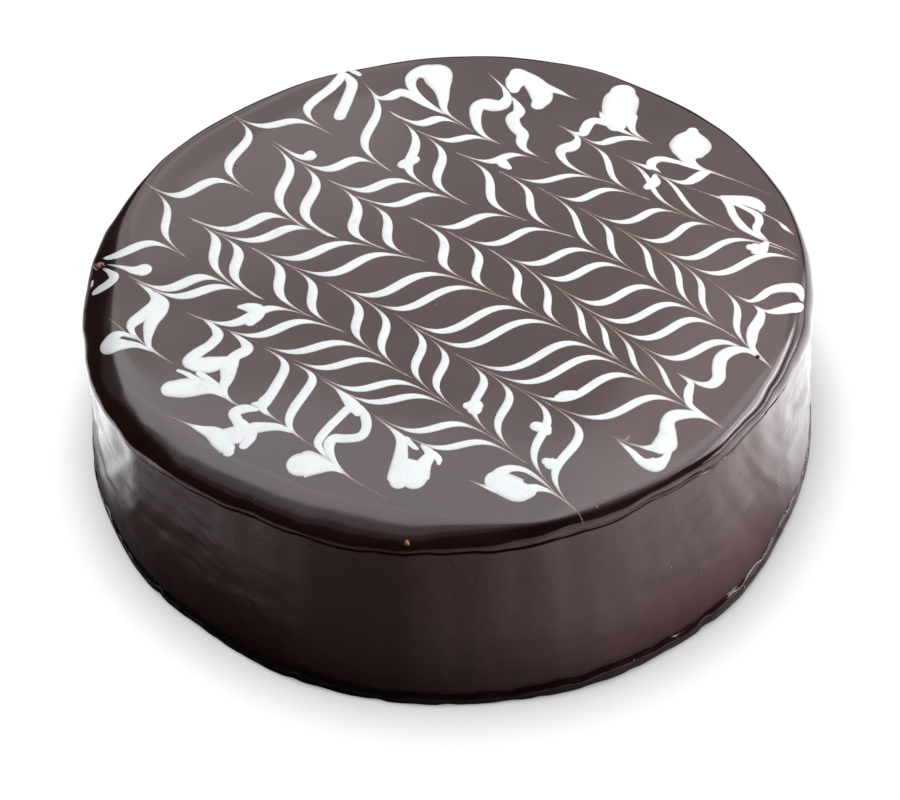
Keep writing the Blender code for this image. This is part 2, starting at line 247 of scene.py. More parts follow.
# Turns, loops and drops: brush strokes through points u, v, half width. The back edge, from the left
BACK_STROKES = (
    # Peak by the rim, with the first line down from it and a blunt leg beside that
    ((-0.845, 0.562, 0.006), (-0.822, 0.530, 0.019), (-0.808, 0.470, 0.021), (-0.807, 0.400, 0.021),
     (-0.800, 0.350, 0.018), (-0.772, 0.318, 0.008), (-0.730, 0.302, 0.003), (-0.690, 0.295, 0.001)),
    ((-0.850, 0.563, 0.006), (-0.805, 0.548, 0.014), (-0.762, 0.520, 0.020), (-0.725, 0.455, 0.021),
     (-0.692, 0.380, 0.022), (-0.685, 0.368, 0.021)),
    ((-0.832, 0.583, 0.006), (-0.800, 0.582, 0.010), (-0.778, 0.578, 0.008)),
    # Big loop with an eye
    ((-0.390, 0.553, 0.002), (-0.460, 0.562, 0.006), (-0.530, 0.580, 0.010), (-0.590, 0.610, 0.016),
     (-0.622, 0.655, 0.024), (-0.612, 0.700, 0.036), (-0.575, 0.716, 0.047)),
    ((-0.600, 0.702, 0.040), (-0.570, 0.712, 0.052), (-0.535, 0.682, 0.046), (-0.498, 0.648, 0.028),
     (-0.465, 0.612, 0.019), (-0.437, 0.577, 0.012), (-0.400, 0.557, 0.005),
     (-0.350, 0.545, 0.003), (-0.290, 0.530, 0.001)),
    ((-0.420, 0.553, 0.004), (-0.500, 0.560, 0.012), (-0.565, 0.572, 0.018), (-0.602, 0.565, 0.022),
     (-0.613, 0.532, 0.020), (-0.642, 0.508, 0.008), (-0.690, 0.525, 0.003), (-0.730, 0.545, 0.001)),
    # Wavy pair and the broad drop that joins them
    ((-0.180, 0.525, 0.001), (-0.240, 0.531, 0.006), (-0.285, 0.552, 0.013), (-0.325, 0.592, 0.019),
     (-0.350, 0.635, 0.025), (-0.342, 0.662, 0.030), (-0.312, 0.672, 0.031), (-0.294, 0.692, 0.027),
     (-0.302, 0.727, 0.016), (-0.327, 0.752, 0.009), (-0.357, 0.771, 0.005), (-0.430, 0.802, 0.001)),
    ((-0.050, 0.537, 0.001), (-0.105, 0.544, 0.009), (-0.135, 0.567, 0.018), (-0.155, 0.600, 0.021),
     (-0.195, 0.620, 0.022), (-0.226, 0.650, 0.024), (-0.228, 0.685, 0.022), (-0.250, 0.710, 0.014),
     (-0.280, 0.731, 0.006), (-0.305, 0.742, 0.001)),
    ((-0.352, 0.850, 0.024), (-0.332, 0.822, 0.038), (-0.320, 0.792, 0.030), (-0.308, 0.774, 0.019)),
    ((-0.345, 0.852, 0.026), (-0.290, 0.840, 0.034), (-0.240, 0.815, 0.040),
     (-0.207, 0.780, 0.036), (-0.198, 0.750, 0.026)),
    ((-0.235, 0.835, 0.022), (-0.180, 0.838, 0.011), (-0.150, 0.836, 0.005), (-0.105, 0.835, 0.001)),
    # Finger that reaches nearly to the rim, and the two lines under it
    ((-0.012, 0.940, 0.044), (0.000, 0.915, 0.058), (0.022, 0.870, 0.059),
     (0.046, 0.822, 0.050), (0.058, 0.795, 0.034)),
    ((0.075, 0.850, 0.022), (0.103, 0.808, 0.013), (0.135, 0.786, 0.006), (0.200, 0.772, 0.001)),
    ((0.035, 0.790, 0.022), (0.080, 0.779, 0.011), (0.125, 0.776, 0.004), (0.200, 0.772, 0.001)),
    ((-0.020, 0.822, 0.002), (0.000, 0.806, 0.010), (0.022, 0.800, 0.020)),
    ((0.035, 0.780, 0.010), (-0.003, 0.777, 0.016), (-0.015, 0.755, 0.019), (-0.008, 0.722, 0.019),
     (-0.003, 0.702, 0.015), (-0.030, 0.692, 0.005), (-0.090, 0.696, 0.001)),
    ((0.175, 0.772, 0.002), (0.132, 0.762, 0.009), (0.102, 0.740, 0.014), (0.084, 0.715, 0.016),
     (0.070, 0.695, 0.011), (0.040, 0.684, 0.004), (-0.020, 0.690, 0.001)),
    ((-0.070, 0.695, 0.001), (-0.012, 0.680, 0.007), (0.003, 0.655, 0.017), (0.002, 0.632, 0.025),
     (-0.012, 0.606, 0.022), (0.000, 0.580, 0.014), (0.040, 0.556, 0.008),
     (0.090, 0.547, 0.004), (0.150, 0.545, 0.001)),
    # Large drop, and the open ring under it
    ((0.268, 0.888, 0.020), (0.280, 0.860, 0.052), (0.298, 0.825, 0.067), (0.315, 0.790, 0.050),
     (0.332, 0.765, 0.022), (0.370, 0.755, 0.006), (0.420, 0.755, 0.004),
     (0.500, 0.758, 0.002), (0.600, 0.757, 0.001)),
    ((0.420, 0.752, 0.003), (0.360, 0.745, 0.008), (0.300, 0.738, 0.010), (0.258, 0.725, 0.014),
     (0.243, 0.700, 0.017), (0.250, 0.676, 0.014), (0.228, 0.670, 0.006), (0.170, 0.668, 0.001)),
    ((0.250, 0.680, 0.012), (0.270, 0.675, 0.007), (0.290, 0.670, 0.002)),
    ((0.405, 0.750, 0.008), (0.393, 0.730, 0.017), (0.386, 0.700, 0.018), (0.376, 0.676, 0.014),
     (0.350, 0.661, 0.006), (0.290, 0.656, 0.001)),
    ((0.283, 0.648, 0.008), (0.297, 0.622, 0.020), (0.292, 0.595, 0.014)),
    # Half moon, and the eye under it
    ((0.490, 0.672, 0.006), (0.530, 0.685, 0.018), (0.570, 0.697, 0.025),
     (0.600, 0.692, 0.020), (0.612, 0.685, 0.012)),
    ((0.510, 0.668, 0.008), (0.450, 0.661, 0.002), (0.350, 0.655, 0.001)),
    ((0.500, 0.668, 0.010), (0.528, 0.650, 0.013), (0.560, 0.618, 0.013), (0.600, 0.592, 0.014),
     (0.640, 0.580, 0.009), (0.690, 0.573, 0.004), (0.760, 0.572, 0.002), (0.840, 0.550, 0.001)),
    ((0.510, 0.668, 0.012), (0.560, 0.665, 0.008), (0.610, 0.658, 0.012), (0.632, 0.635, 0.013),
     (0.637, 0.610, 0.013), (0.650, 0.592, 0.010), (0.685, 0.578, 0.004)),
    ((0.620, 0.672, 0.003), (0.670, 0.665, 0.003), (0.700, 0.652, 0.007),
     (0.712, 0.647, 0.006), (0.740, 0.637, 0.001)),
    ((0.692, 0.562, 0.011), (0.690, 0.532, 0.024), (0.674, 0.530, 0.022), (0.665, 0.527, 0.014)),
)
# The right rim, from the back
RIGHT_STROKES = (
    ((0.720, 0.335, 0.001), (0.765, 0.337, 0.006), (0.782, 0.365, 0.012), (0.790, 0.400, 0.014),
     (0.812, 0.430, 0.018), (0.850, 0.452, 0.022), (0.890, 0.440, 0.028), (0.905, 0.420, 0.022)),
    ((0.905, 0.430, 0.020), (0.890, 0.405, 0.018), (0.865, 0.370, 0.018), (0.845, 0.345, 0.014),
     (0.820, 0.328, 0.006), (0.780, 0.330, 0.001)),
    ((0.780, 0.331, 0.001), (0.810, 0.318, 0.010), (0.822, 0.285, 0.016), (0.826, 0.250, 0.017),
     (0.840, 0.215, 0.015), (0.862, 0.185, 0.008), (0.930, 0.155, 0.001)),
    ((0.940, 0.152, 0.001), (0.880, 0.170, 0.005), (0.845, 0.172, 0.010), (0.818, 0.150, 0.017),
     (0.808, 0.115, 0.019), (0.820, 0.080, 0.019), (0.837, 0.048, 0.018), (0.832, 0.018, 0.015),
     (0.800, 0.004, 0.006), (0.740, 0.006, 0.001)),
    ((0.740, 0.006, 0.001), (0.785, -0.004, 0.008), (0.797, -0.030, 0.013), (0.810, -0.055, 0.012),
     (0.835, -0.075, 0.008), (0.930, -0.090, 0.001)),
    ((0.930, -0.091, 0.001), (0.880, -0.086, 0.006), (0.845, -0.095, 0.014), (0.812, -0.122, 0.020),
     (0.808, -0.150, 0.019), (0.828, -0.185, 0.024), (0.840, -0.215, 0.032), (0.838, -0.226, 0.028)),
    ((0.835, -0.235, 0.022), (0.800, -0.256, 0.005), (0.730, -0.271, 0.001)),
    ((0.862, -0.235, 0.008), (0.864, -0.262, 0.014), (0.854, -0.286, 0.025), (0.825, -0.296, 0.014),
     (0.785, -0.283, 0.009), (0.735, -0.271, 0.001)),
    ((0.755, -0.243, 0.002), (0.752, -0.262, 0.002), (0.720, -0.268, 0.001)),
)
# The front edge, from the left
FRONT_STROKES = (
    ((-0.640, 0.172, 0.018), (-0.636, 0.163, 0.024), (-0.652, 0.148, 0.013),
     (-0.690, 0.145, 0.006), (-0.780, 0.158, 0.001)),
    ((-0.698, -0.486, 0.027), (-0.718, -0.500, 0.017), (-0.750, -0.508, 0.008), (-0.820, -0.520, 0.002)),
    ((-0.830, -0.533, 0.004), (-0.785, -0.538, 0.008), (-0.750, -0.550, 0.017), (-0.748, -0.578, 0.019),
     (-0.768, -0.612, 0.018), (-0.790, -0.640, 0.014)),
    ((-0.850, -0.560, 0.006), (-0.820, -0.580, 0.012), (-0.800, -0.612, 0.016), (-0.785, -0.640, 0.012)),
    # Forked turn with a leaf under it
    ((-0.680, -0.531, 0.001), (-0.605, -0.540, 0.010), (-0.570, -0.565, 0.022), (-0.566, -0.610, 0.024),
     (-0.568, -0.650, 0.020), (-0.552, -0.674, 0.010), (-0.510, -0.688, 0.004), (-0.440, -0.698, 0.001)),
    ((-0.600, -0.534, 0.006), (-0.555, -0.548, 0.016), (-0.538, -0.580, 0.024), (-0.528, -0.620, 0.023),
     (-0.505, -0.655, 0.016), (-0.480, -0.682, 0.010), (-0.450, -0.696, 0.005), (-0.370, -0.702, 0.001)),
    ((-0.440, -0.699, 0.003), (-0.495, -0.706, 0.010), (-0.530, -0.726, 0.020), (-0.560, -0.744, 0.034),
     (-0.572, -0.730, 0.028), (-0.573, -0.712, 0.020), (-0.555, -0.696, 0.009), (-0.510, -0.689, 0.003)),
    ((-0.650, -0.672, 0.001), (-0.600, -0.681, 0.002), (-0.550, -0.691, 0.002)),
    # Boot with a small eye, and the drop under it
    ((-0.430, -0.533, 0.001), (-0.375, -0.540, 0.009), (-0.340, -0.558, 0.017), (-0.333, -0.595, 0.018),
     (-0.340, -0.640, 0.021), (-0.334, -0.668, 0.025), (-0.310, -0.672, 0.022)),
    ((-0.320, -0.529, 0.002), (-0.270, -0.535, 0.010), (-0.240, -0.553, 0.020), (-0.248, -0.590, 0.020),
     (-0.238, -0.622, 0.026), (-0.212, -0.658, 0.020), (-0.196, -0.690, 0.014), (-0.170, -0.708, 0.007),
     (-0.130, -0.714, 0.003), (-0.070, -0.704, 0.001)),
    ((-0.330, -0.668, 0.022), (-0.302, -0.662, 0.030), (-0.282, -0.648, 0.032), (-0.262, -0.625, 0.024)),
    ((-0.285, -0.688, 0.010), (-0.240, -0.692, 0.011), (-0.200, -0.697, 0.010)),
    ((-0.338, -0.712, 0.006), (-0.310, -0.708, 0.008), (-0.270, -0.710, 0.012)),
    ((-0.305, -0.768, 0.031), (-0.280, -0.748, 0.037), (-0.250, -0.725, 0.032), (-0.215, -0.711, 0.017),
     (-0.175, -0.711, 0.006), (-0.120, -0.714, 0.001)),
    # Two legs, knotted below into a wedge
    ((-0.200, -0.522, 0.001), (-0.140, -0.527, 0.006), (-0.108, -0.550, 0.014), (-0.090, -0.595, 0.016),
     (-0.077, -0.640, 0.017), (-0.072, -0.672, 0.020), (-0.055, -0.690, 0.010),
     (-0.020, -0.695, 0.003), (0.050, -0.700, 0.001)),
    ((-0.093, -0.689, 0.006), (-0.078, -0.680, 0.014)),
    ((-0.100, -0.521, 0.001), (-0.045, -0.524, 0.006), (-0.018, -0.545, 0.014), (-0.006, -0.590, 0.015),
     (0.004, -0.640, 0.015), (0.020, -0.678, 0.012), (0.048, -0.700, 0.006),
     (0.090, -0.708, 0.002), (0.150, -0.712, 0.001)),
    ((-0.072, -0.698, 0.007), (-0.100, -0.714, 0.017), (-0.112, -0.738, 0.018), (-0.088, -0.754, 0.016),
     (-0.062, -0.764, 0.022), (-0.055, -0.790, 0.030)),
    ((0.060, -0.704, 0.003), (0.015, -0.712, 0.012), (-0.020, -0.735, 0.018), (-0.038, -0.756, 0.022),
     (-0.022, -0.780, 0.017), (-0.018, -0.805, 0.014)),
    ((-0.250, -0.842, 0.001), (-0.190, -0.834, 0.003), (-0.150, -0.828, 0.011), (-0.110, -0.820, 0.024),
     (-0.075, -0.825, 0.030), (-0.045, -0.838, 0.022), (-0.037, -0.843, 0.016)),
    ((-0.058, -0.780, 0.026), (-0.075, -0.806, 0.028)),
    # Bowed pair over a round drop
    ((-0.010, -0.524, 0.001), (0.050, -0.529, 0.004), (0.095, -0.540, 0.014),
     (0.130, -0.552, 0.020), (0.150, -0.562, 0.012)),
    ((0.120, -0.550, 0.014), (0.120, -0.600, 0.014), (0.121, -0.650, 0.014), (0.128, -0.690, 0.013),
     (0.150, -0.708, 0.008), (0.200, -0.724, 0.003)),
    ((0.145, -0.545, 0.010), (0.175, -0.562, 0.014), (0.200, -0.590, 0.014), (0.205, -0.620, 0.015),
     (0.180, -0.645, 0.015), (0.155, -0.662, 0.016), (0.158, -0.685, 0.016), (0.185, -0.708, 0.010),
     (0.225, -0.727, 0.006), (0.280, -0.736, 0.002), (0.380, -0.735, 0.001)),
    ((0.250, -0.733, 0.003), (0.215, -0.735, 0.012), (0.180, -0.748, 0.032),
     (0.153, -0.762, 0.046), (0.143, -0.770, 0.040)),
    # Hand with a small gap
    ((0.190, -0.547, 0.001), (0.255, -0.556, 0.005), (0.295, -0.570, 0.014), (0.320, -0.600, 0.018),
     (0.345, -0.640, 0.024), (0.365, -0.668, 0.030), (0.373, -0.678, 0.024)),
    ((0.350, -0.556, 0.005), (0.382, -0.566, 0.015), (0.390, -0.600, 0.022),
     (0.395, -0.633, 0.037), (0.400, -0.650, 0.033)),
    ((0.390, -0.560, 0.009), (0.410, -0.567, 0.010), (0.420, -0.578, 0.006)),
    ((0.350, -0.628, 0.022), (0.375, -0.622, 0.024)),
    ((0.305, -0.562, 0.010), (0.335, -0.570, 0.008), (0.346, -0.571, 0.006)),
    # Cup with a slit, by the front right rim
    ((0.710, -0.494, 0.001), (0.650, -0.480, 0.005), (0.605, -0.477, 0.008), (0.575, -0.490, 0.012),
     (0.562, -0.515, 0.020), (0.572, -0.535, 0.032)),
    ((0.572, -0.541, 0.035), (0.600, -0.539, 0.038), (0.630, -0.536, 0.037), (0.647, -0.524, 0.025),
     (0.662, -0.505, 0.012), (0.700, -0.497, 0.004), (0.760, -0.505, 0.002), (0.810, -0.522, 0.001)),
    ((0.510, -0.577, 0.001), (0.545, -0.574, 0.004), (0.580, -0.565, 0.012)),
)
# Thick places along the lines, where the hand stopped or wavered
LINE_DROPS = (
    ((-0.365, -0.443, 0.008), (-0.345, -0.432, 0.018), (-0.318, -0.425, 0.022),
     (-0.302, -0.440, 0.020), (-0.300, -0.470, 0.016)),
    ((-0.142, 0.462, 0.017), (-0.118, 0.452, 0.018), (-0.097, 0.447, 0.010)),
    ((0.365, -0.385, 0.013), (0.378, -0.376, 0.024), (0.386, -0.384, 0.021)),
    ((0.548, -0.345, 0.017), (0.570, -0.340, 0.018), (0.580, -0.345, 0.012)),
    ((0.633, -0.425, 0.013), (0.646, -0.424, 0.020), (0.656, -0.414, 0.014)),
    ((0.562, -0.203, 0.013), (0.548, -0.221, 0.018), (0.540, -0.234, 0.012)),
    ((-0.360, 0.320, 0.022), (-0.368, 0.290, 0.022)),
)
# Brush strokes: sections to each point, sections of a round end, and the least sizes
STROKE_SECTIONS_PER_POINT = 10
END_SECTIONS = 5
LEAST_HALF_WIDTH = 0.0008
LEAST_END = 0.02

# Crumbs that stuck to the glaze, as u, v, radius, and a near-black lump beside the largest: painted shade
# standing in for the hole there
CRUMBS = (
    (-0.834, -0.533, 0.0165),
    (0.5146, -0.8367, 0.0080),
    (0.883, 0.169, 0.0070),
    (-0.792, 0.008, 0.0045),
)
CRUMB_HOLE_SHADE = (-0.815, -0.531, 0.0075)
CRUMB_LIFT = 0.05
HOLE_SHADE_LIFT = 0.75
HOLE_SHADE_TURN = 9
# Near-black colour of that lump: painted shade of the hole beside the crumb
PAINTED_HOLE_SHADE_COLOUR = (0.004, 0.002, 0.002)
# Lumps of a crumb, each an axis, a size, a wave count and turns of its phase, and its size along each axis
GRAIN_LUMPS = ((0, 0.16, 3.1, 1), (1, 0.12, 4.3, -2), (2, 0.10, 5, 1))
GRAIN_SHAPE = (1, 0.86, 0.72)
# Specks and bubbles, scattered by steps of the golden share: how many, and the range of their radii
TOP_SPECKS = 46
SIDE_SPECKS = 64
SPECK_RADII = (0.00012, 0.00036)
GOLDEN = 0.6180340
SPECK_RIM_SHARE = 0.99
LOWEST_SPECK = 0.004
SPECK_CLEARANCE = 0.010

# Finishes: darker and lighter mottling as shares of a colour, where the mottling noise starts and ends,
# how matt each finish is, and the tint of the glaze's shine
GLAZE_MOTTLES = (0.75, 1.3)
ICING_MOTTLE = 0.93
SPONGE_PORES = 0.45
MOTTLE_RANGE = (0.35, 0.65)
MATT_RANGE = (0.3, 0.7)
GLAZE_MATT_CHANGE = (-0.03, 0.04)
ICING_ROUGHNESS = (0.26, 0.34)
GLAZE_IOR = 1.5
GLAZE_SHINE = (1.0, 0.80, 0.77, 1)
CRUMB_ROUGHNESS = 0.35

# Camera: lens, distance from the middle of the cake's foot, height angle, and the small turns of its view
CAMERA_LENS = 57.32
CAMERA_SENSOR = 36.0
CAMERA_DISTANCE = 0.4808
CAMERA_ELEVATION = math.radians(47.50)
CAMERA_YAW = math.radians(0.18)
CAMERA_PITCH = math.radians(-0.17)
CAMERA_ROLL = math.radians(4.38)

# Floor: its size, its gap under the cake, and its colour as the cake mirrors it
FLOOR_SIZE = 12.0
FLOOR_GAP = 0.00005
FLOOR_GREY = (0.32, 0.32, 0.32, 1)
# Colour of the floor's painted glow
PAINTED_GLOW_COLOUR = (0.94, 0.97, 1, 1)
# Brightness of the room round the cake, and of what is seen past the floor
ROOM_DIM = 0.04
ROOM_SEEN = 1.05

# Painted glow on the floor, seen only as the cake mirrors it: lobes that stand in for the floor lit at the
# right and the left and in the cake's shade at the front left. Each is a heading, the range of nearness to
# that heading over which it grows, the radii where it starts and is full, and a strength.
PAINTED_FLOOR_GLOWS = (
    (math.radians(-15), -0.05, 1.00, 0.122, 0.165, 1.6),
    (math.radians(-6), 0.90, 1.00, 0.112, 0.124, 1.3),
    (math.radians(176), 0.90, 1.00, 0.122, 0.140, 2.3),
    (math.radians(188), 0.55, 1.00, 0.142, 0.175, 0.55),
)

# Contact shadow: its reach, the openness over which it fades, and its darkest value
SHADOW_REACH = 0.024
SHADOW_RANGE = (0.40, 0.93)
SHADOW_DARKEST = 0.33

# Lights: name, heading from +Y towards +X, elevation, width, height, share of the key light, colour
LIGHT_DISTANCE = 1.1
KEY_LIGHTS = (
    ("key_low", 18, 29, 2.1, 0.33, 0.72, (1.0, 0.98, 0.98)),
    ("key_middle", 18, 46, 2.1, 0.33, 0.95, (1.0, 0.98, 0.98)),
    ("key_high", 18, 62, 2.1, 0.30, 1.90, (0.84, 0.93, 1.0)),
    ("key_top", 18, 77, 2.1, 0.30, 1.90, (0.84, 0.93, 1.0)),
    ("key_over", 18, 91, 2.1, 0.24, 0.50, (0.84, 0.93, 1.0)),
    ("key_past", 18, 103, 2.1, 0.20, 0.15, (0.84, 0.93, 1.0)),
    ("key_left", -50, 52, 0.45, 0.90, 0.12, (0.90, 0.95, 1.0)),
    ("key_right", 39, 56, 0.60, 0.45, 0.60, (1.0, 0.98, 0.98)),
    ("key_patch", -12, 38, 0.32, 0.18, 0.32, (0.84, 0.90, 1.0)),
)
# From this one on, the key lights shine only in the glaze, so the icing keeps its shades
FIRST_GLAZE_LIGHT = 3
# Lights at the right: name, heading, elevation, width, height, share of the window light, colour
WINDOW_LIGHTS = (
    ("window", 80, 38, 0.66, 0.34, 0.26, (0.84, 0.91, 1.0)),
    ("window_core", 78, 36, 0.60, 0.07, 0.75, (0.86, 0.92, 1.0)),
    ("window_low", 84, 14, 1.00, 0.30, 0.12, (0.88, 0.94, 1.0)),
    ("window_line", 94, 12, 0.80, 0.035, 0.75, (0.90, 0.95, 1.0)),
)


class TorteGlazeSettings(bpy.types.PropertyGroup):
    """Sizes and colours of the glaze coat."""

    top_height: bpy.props.FloatProperty(
        name="Top height",
        description="Height of the flat glazed top above the floor",
        default=TOP_HEIGHT,
        min=0.02,
        unit="LENGTH",
    )
    ripple: bpy.props.FloatProperty(
        name="Ripple",
        description="Strength of the flow ripples on the side",
        default=1.0,
        min=0.0,
        subtype="FACTOR",
    )
    colour: bpy.props.FloatVectorProperty(
        name="Glaze colour",
        description="Colour of the thick chocolate glaze",
        default=(0.016, 0.0055, 0.0045),
        size=3,
        min=0.0,
        max=1.0,
        subtype="COLOR",
    )
    thin_colour: bpy.props.FloatVectorProperty(
        name="Thin glaze colour",
        description="Redder colour of the glaze where it lies thin, as in the crease under the lip",
        default=(0.085, 0.012, 0.008),
        size=3,
        min=0.0,
        max=1.0,
        subtype="COLOR",
    )
    roughness: bpy.props.FloatProperty(
        name="Roughness",
        description="Roughness of the set glaze",
        default=0.13,
        min=0.0,
        max=1.0,
        subtype="FACTOR",
    )


class TorteIcingSettings(bpy.types.PropertyGroup):
    """Sizes and colours of the feathered icing."""

    pull_reach: bpy.props.FloatProperty(
        name="Pull",
        description="How far a pull drags a piped line, in units of the piping's plan",
        default=PULL_REACH,
        min=0.0,
    )
    colour: bpy.props.FloatVectorProperty(
        name="Icing colour",
        description="Colour of the white icing",
        default=(0.86, 0.855, 0.81),
        size=3,
        min=0.0,
        max=1.0,
        subtype="COLOR",
    )
    thin_colour: bpy.props.FloatVectorProperty(
        name="Thin icing colour",
        description="Colour of drawn-out tails and edges, where the glaze shows through",
        default=(0.32, 0.16, 0.11),
        size=3,
        min=0.0,
        max=1.0,
        subtype="COLOR",
    )


class TorteCrumbSettings(bpy.types.PropertyGroup):
    """Sizes and colours of the crumbs and specks."""

    scale: bpy.props.FloatProperty(
        name="Scale",
        description="Size of the crumbs and specks against those of the cake",
        default=1.0,
        min=0.1,
        subtype="FACTOR",
    )
    crumb_colour: bpy.props.FloatVectorProperty(
        name="Crumb colour",
        description="Colour of the sponge crumbs",
        default=(0.34, 0.095, 0.035),
        size=3,
        min=0.0,
        max=1.0,
        subtype="COLOR",
    )
    speck_colour: bpy.props.FloatVectorProperty(
        name="Speck colour",
        description="Colour of the small specks and bubbles in the glaze",
        default=(0.42, 0.22, 0.15),
        size=3,
        min=0.0,
        max=1.0,
        subtype="COLOR",
    )


class TorteStageSettings(bpy.types.PropertyGroup):
    """Light and floor of the white studio."""

    key_radiance: bpy.props.FloatProperty(
        name="Key light",
        description="Brightness of the softboxes behind and over the cake",
        default=2.2,
        min=0.0,
    )
    window_radiance: bpy.props.FloatProperty(
        name="Window light",
        description="Brightness of the cool lights at the right",
        default=26.0,
        min=0.0,
    )
    floor_white: bpy.props.FloatProperty(
        name="Floor white",
        description="Brightness of the bare floor as it is seen",
        default=1.05,
        min=0.0,
    )


def waves(table, angle):
    """Unevenness at angles round the cake."""
    return sum(size * np.cos(count * angle + phase) for count, size, phase in table)


def lip_radius(angle):
    shift = LIP_SHIFT[0] * np.cos(angle) + LIP_SHIFT[1] * np.sin(angle)
    dent = LIP_DENT * eased(1 - apart(angle, LIP_DENT_AT) / LIP_DENT_REACH)
    return LIP_RADIUS + LIP_OVAL * np.cos(2 * angle) + shift + waves(LIP_WAVES, angle) - dent


def foot_radius(angle):
    lobes = FOOT_LOBE * np.cos(3 * (angle - FOOT_LOBE_AT)) + FOOT_SHIFT * np.cos(angle)
    return FOOT_RADIUS + lobes + waves(FOOT_WAVES, angle)


def eased(share):
    """A share from 0 to 1 with soft ends."""
    share = np.clip(share, 0, 1)
    return share * share * (3 - 2 * share)


def apart(angle, place):
    """How far angles lie from a place round the cake, either way."""
    return np.abs((angle - place + math.pi) % (2 * math.pi) - math.pi)


def wide_roll_share(angle):
    """1 over the stretch of the wide roll, and 0 past it."""
    wide, tight = WIDE_ROLL_REACH
    return eased((tight - apart(angle, WIDEST_ROLL_AT)) / (tight - wide))


def roll_width(angle):
    first = ROLL_WIDENING * wide_roll_share(angle)
    second = SECOND_WIDENING * eased(SECOND_FULLNESS - apart(angle, SECOND_WIDEST_AT) / SECOND_REACH)
    return ROLL_WIDTH + first + second + waves(ROLL_WIDTH_WAVES, angle)


def roll_drop(angle):
    sag = LIP_SAG * eased(1 - apart(angle, LIP_SAG_AT) / LIP_SAG_REACH)
    sag = sag + LEFT_SAG * eased(LEFT_SAG_FULLNESS - apart(angle, LEFT_SAG_AT) / LEFT_SAG_REACH)
    rise = LIP_RISE * eased(1 - apart(angle, LIP_RISE_AT) / LIP_RISE_REACH)
    return ROLL_DROP + waves(ROLL_DROP_WAVES, angle) + sag - rise


def roll_fall(angle, into_roll):
    """How far the surface has fallen at a share of the way into the roll. The wide roll slopes sooner."""
    sooner = WIDE_ROLL_FULLNESS * wide_roll_share(angle) * into_roll ** 2 * (1 - into_roll)
    return roll_drop(angle) * (1 - np.sqrt(1 - into_roll ** 2) + sooner)


def swell(x, y):
    """Height of the poured top's long, low waves."""
    total = 0.0
    for heading, length, height, phase in TOP_SWELLS:
        along = x * math.cos(heading) + y * math.sin(heading)
        total = total + height * np.sin(2 * math.pi * along / length + phase)
    angle, radius = np.arctan2(y, x), np.hypot(x, y)
    fall = eased((radius - SHOULDER_START) / (LIP_RADIUS - SHOULDER_START))
    where = eased(1 - apart(angle, SHOULDER_AT) / SHOULDER_REACH)
    return total - SHOULDER_FALL * fall * where * (1 + waves(SHOULDER_WAVES, angle))


def top_surface(x, y, top_height):
    """Height of the glazed top at points, flat in the middle and rolled down towards the lip."""
    angle = np.arctan2(y, x)
    into_roll = 1 - (lip_radius(angle) - np.hypot(x, y)) / roll_width(angle)
    into_roll = np.clip(into_roll, 0, 1)
    return top_height - roll_fall(angle, into_roll) + swell(x, y) * (1 - into_roll)


def ripple(angle, height, strength):
    """Glaze flow on the side: slanting waves that lean apart to left and right, finer ones, and bands."""
    side = RIPPLE_IN_FRONT + (1 - RIPPLE_IN_FRONT) * np.cos(angle) ** 2
    lean = np.sign(np.cos(angle)) * np.cos(angle) ** 2
    broad = waves(RIPPLE_WAVES, angle + height * RIPPLE_SLANT * lean)
    fine = waves(FINE_RIPPLE_WAVES, angle + height * FINE_RIPPLE_SLANT * lean)
    bands = 0.0
    for length, size, phase in FLOW_BANDS:
        wander = sum(far * np.sin(count * angle + turns * phase) for count, far, turns in BAND_WANDER)
        bands = bands + size * np.sin(2 * math.pi * height / length + wander)
    return side * strength * (broad + fine + bands)


